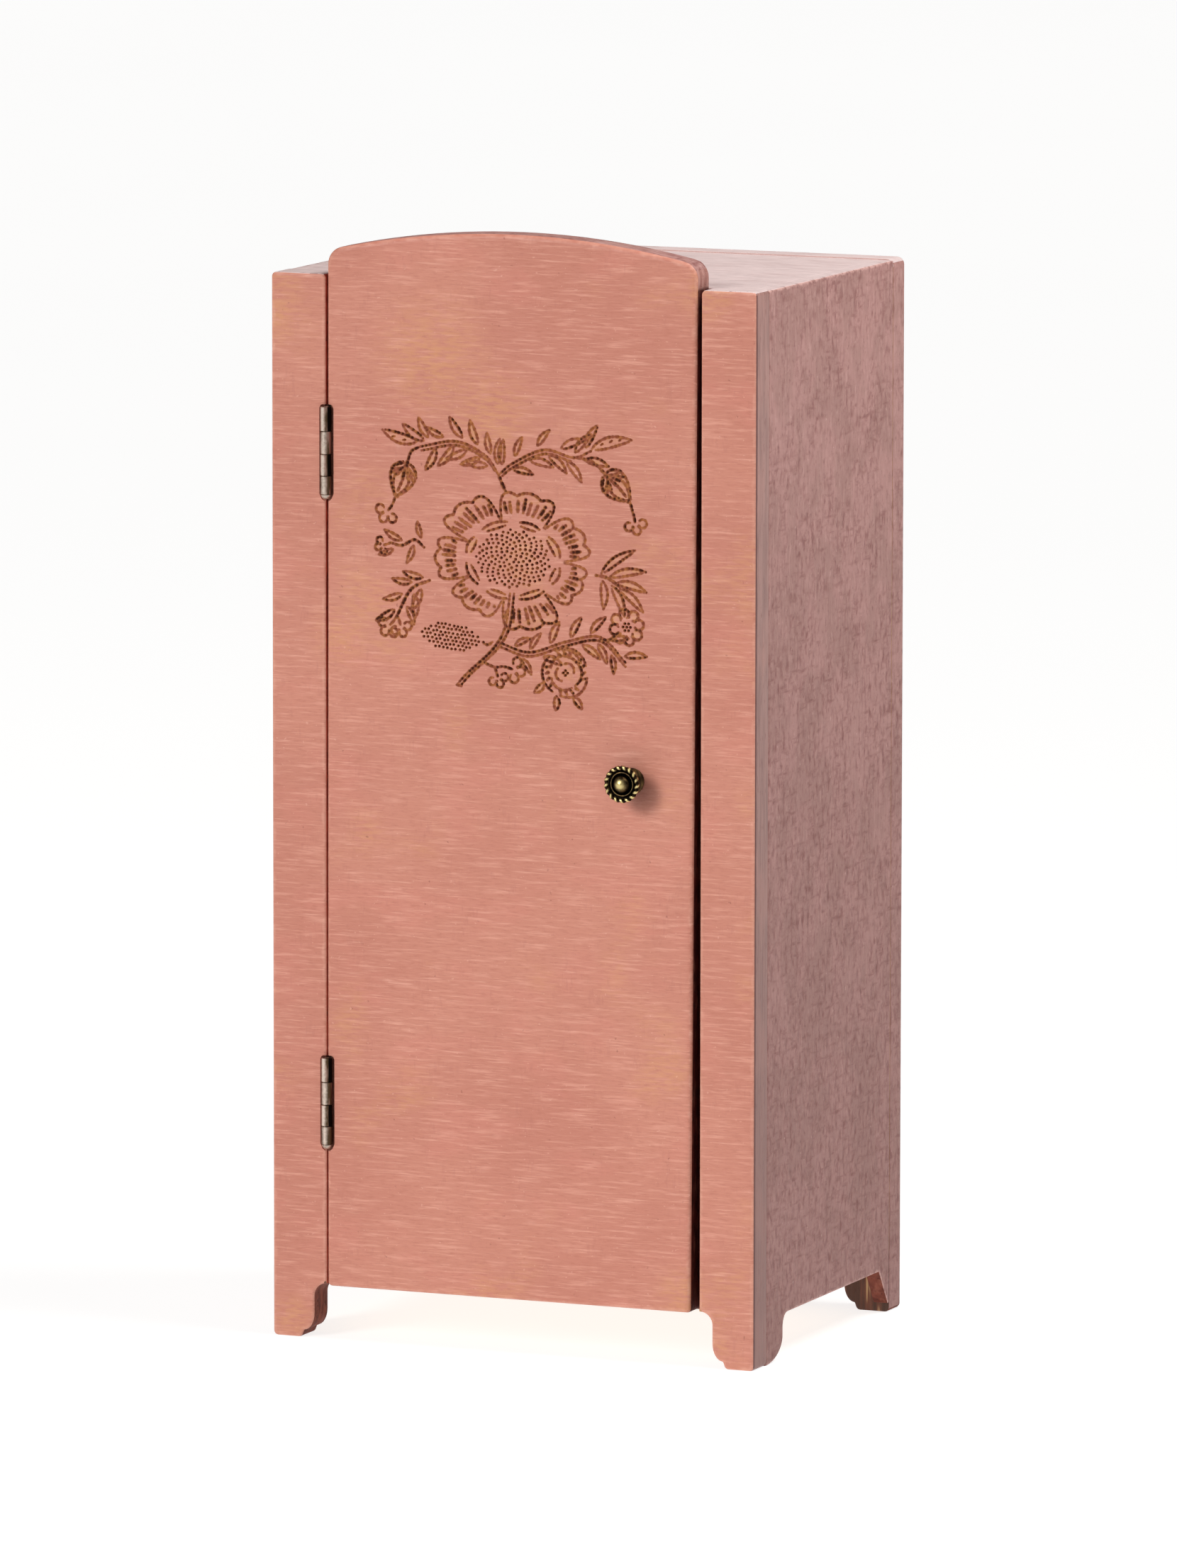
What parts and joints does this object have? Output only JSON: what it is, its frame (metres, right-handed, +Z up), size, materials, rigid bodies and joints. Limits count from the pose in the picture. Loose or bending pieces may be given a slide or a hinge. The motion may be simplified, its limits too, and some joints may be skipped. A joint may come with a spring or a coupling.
{
  "type": "miniature wardrobe",
  "caption": "Dolls house wardrobe: narrow painted wooden box on bracket feet with one arched door on two small butt hinges, a turned knob and a hanging rail inside.",
  "frame": {"origin": "on the ground, under the middle of the object's box (knob included)", "axes": "+Z up, the door faces -Y, +X to the right of a person facing the door"},
  "size_m": [0.1, 0.083, 0.215],
  "materials": {
    "front_paint": "satin chalk paint, coral pink with fine horizontal brush strokes and ochre undercoat showing through",
    "side_paint": "satin chalk paint, dusty rose with darker brushed blotches",
    "inside_wood": "bare, lightly sanded pale plywood",
    "old_brass": "antique patina, dark in the recesses and bright on the worn edges",
    "steel": "plain zinc or nickel plated"
  },
  "bodies": {
    "carcass": {"side_panel_left": "side_paint", "side_panel_right": "side_paint", "top_panel": "side_paint", "bottom_panel": "inside_wood", "back_panel": "side_paint", "stile_left": "front_paint", "stile_right": "front_paint", "hanging_rail": "inside_wood", "rail_socket_left": "inside_wood", "rail_socket_right": "inside_wood", "door_magnet": "steel", "upper_hinge_frame_leaf": "old_brass", "upper_hinge_pin": "old_brass", "upper_frame_nail_1": "old_brass", "upper_frame_nail_2": "old_brass", "lower_hinge_frame_leaf": "old_brass", "lower_hinge_pin": "old_brass", "lower_frame_nail_1": "old_brass", "lower_frame_nail_2": "old_brass"},
    "door": {"door_panel": "front_paint", "knob": "old_brass", "knob_screw": "steel", "catch_plate": "steel", "upper_hinge_door_leaf": "old_brass", "upper_door_nail_1": "old_brass", "upper_door_nail_2": "old_brass", "lower_hinge_door_leaf": "old_brass", "lower_door_nail_1": "old_brass", "lower_door_nail_2": "old_brass"}
  },
  "joints": [
    {"name": "door_hinge", "type": "hinge", "parent": "carcass", "child": "door", "pos_m": [-0.03855, -0.0351, 0.11], "axis": [0, 0, -1], "range_deg": [0, 170]}
  ]
}
